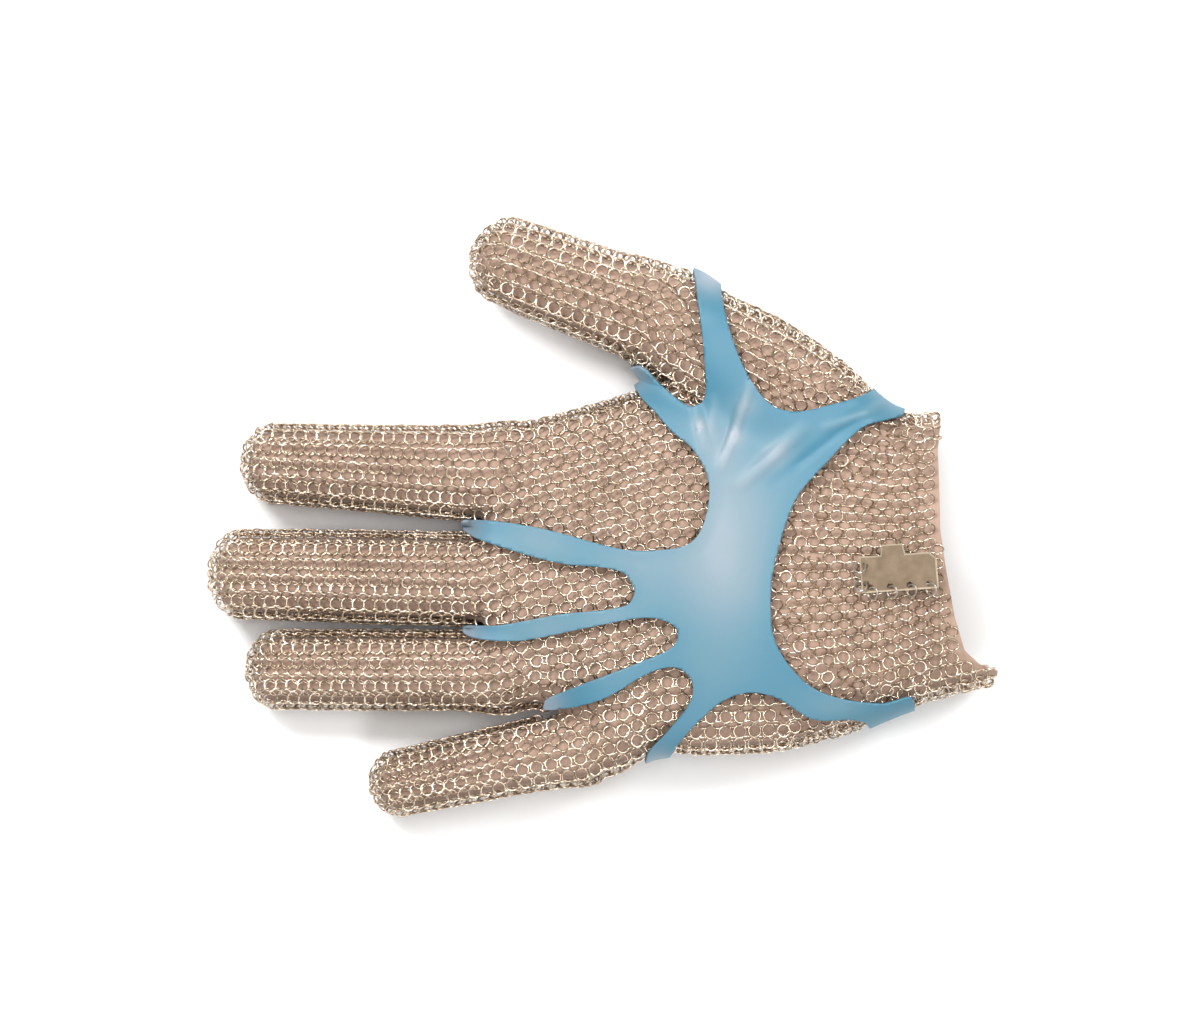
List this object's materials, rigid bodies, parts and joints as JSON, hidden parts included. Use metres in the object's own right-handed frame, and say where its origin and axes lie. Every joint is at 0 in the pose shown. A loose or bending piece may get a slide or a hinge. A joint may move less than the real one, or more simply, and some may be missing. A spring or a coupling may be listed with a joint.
{
  "type": "chain mail cut resistant glove",
  "caption": "Chain mail cut resistant glove in its worn shape, with a fabric liner, a blue eight armed tensioner over it and a small blank metal tag on the cuff.",
  "frame": {"origin": "under the middle of the glove, at the height of the flat underside it rests on", "axes": "+X towards the cuff, +Y towards the thumb, +Z out of the back of the hand"},
  "size_m": [0.2306, 0.1726, 0.0398],
  "materials": {
    "mail_rings": "polished welded stainless rings",
    "liner_fabric": "matt knit",
    "tensioner_film": "satin translucent polyurethane",
    "tag_steel": "stamped plate",
    "link_steel": "bright wire"
  },
  "bodies": {
    "hand": {"mail_hand": "mail_rings", "liner_hand": "liner_fabric", "tensioner": "tensioner_film", "tag_plate": "tag_steel", "tag_link_1": "link_steel", "tag_link_2": "link_steel", "tag_link_3": "link_steel", "tag_link_4": "link_steel", "tag_link_5": "link_steel", "tag_link_6": "link_steel"},
    "index_root": {"mail_index_root": "mail_rings", "liner_index_root": "liner_fabric"},
    "index_tip": {"mail_index_tip": "mail_rings", "liner_index_tip": "liner_fabric"},
    "middle_root": {"mail_middle_root": "mail_rings", "liner_middle_root": "liner_fabric"},
    "middle_tip": {"mail_middle_tip": "mail_rings", "liner_middle_tip": "liner_fabric"},
    "ring_root": {"mail_ring_root": "mail_rings", "liner_ring_root": "liner_fabric"},
    "ring_tip": {"mail_ring_tip": "mail_rings", "liner_ring_tip": "liner_fabric"},
    "little_root": {"mail_little_root": "mail_rings", "liner_little_root": "liner_fabric"},
    "little_tip": {"mail_little_tip": "mail_rings", "liner_little_tip": "liner_fabric"},
    "thumb_root": {"mail_thumb_root": "mail_rings", "liner_thumb_root": "liner_fabric"},
    "thumb_tip": {"mail_thumb_tip": "mail_rings", "liner_thumb_tip": "liner_fabric"}
  },
  "joints": [
    {"name": "index_root_joint", "type": "hinge", "parent": "hand", "child": "index_root", "pos_m": [-0.0407, 0.0134, 0.0152], "axis": [0.04, -0.9992, 0], "range_deg": [0, 75]},
    {"name": "index_middle_joint", "type": "hinge", "parent": "index_root", "child": "index_tip", "pos_m": [-0.06665, 0.0144, 0.01392], "axis": [0.04, -0.9992, 0], "range_deg": [0, 80]},
    {"name": "middle_root_joint", "type": "hinge", "parent": "hand", "child": "middle_root", "pos_m": [-0.0407, -0.0174, 0.0152], "axis": [0, -1, 0], "range_deg": [0, 75]},
    {"name": "middle_middle_joint", "type": "hinge", "parent": "middle_root", "child": "middle_tip", "pos_m": [-0.06867, -0.01702, 0.014], "axis": [0, -1, 0], "range_deg": [0, 80]},
    {"name": "ring_root_joint", "type": "hinge", "parent": "hand", "child": "ring_root", "pos_m": [-0.0407, -0.044, 0.015], "axis": [0, -1, 0], "range_deg": [0, 75]},
    {"name": "ring_middle_joint", "type": "hinge", "parent": "ring_root", "child": "ring_tip", "pos_m": [-0.06667, -0.04376, 0.01378], "axis": [0, -1, 0], "range_deg": [0, 80]},
    {"name": "little_root_joint", "type": "hinge", "parent": "hand", "child": "little_root", "pos_m": [-0.0176, -0.068, 0.0144], "axis": [-0.0896, -0.996, 0], "range_deg": [0, 75]},
    {"name": "little_middle_joint", "type": "hinge", "parent": "little_root", "child": "little_tip", "pos_m": [-0.03913, -0.07234, 0.01317], "axis": [-0.0896, -0.996, 0], "range_deg": [0, 75]},
    {"name": "thumb_root_joint", "type": "hinge", "parent": "hand", "child": "thumb_root", "pos_m": [0.0109, 0.0604, 0.0164], "axis": [-0.2701, -0.6502, 0.7102], "range_deg": [0, 50]},
    {"name": "thumb_middle_joint", "type": "hinge", "parent": "thumb_root", "child": "thumb_tip", "pos_m": [-0.00974, 0.06791, 0.01513], "axis": [-0.2701, -0.6502, 0.7102], "range_deg": [0, 60]}
  ]
}
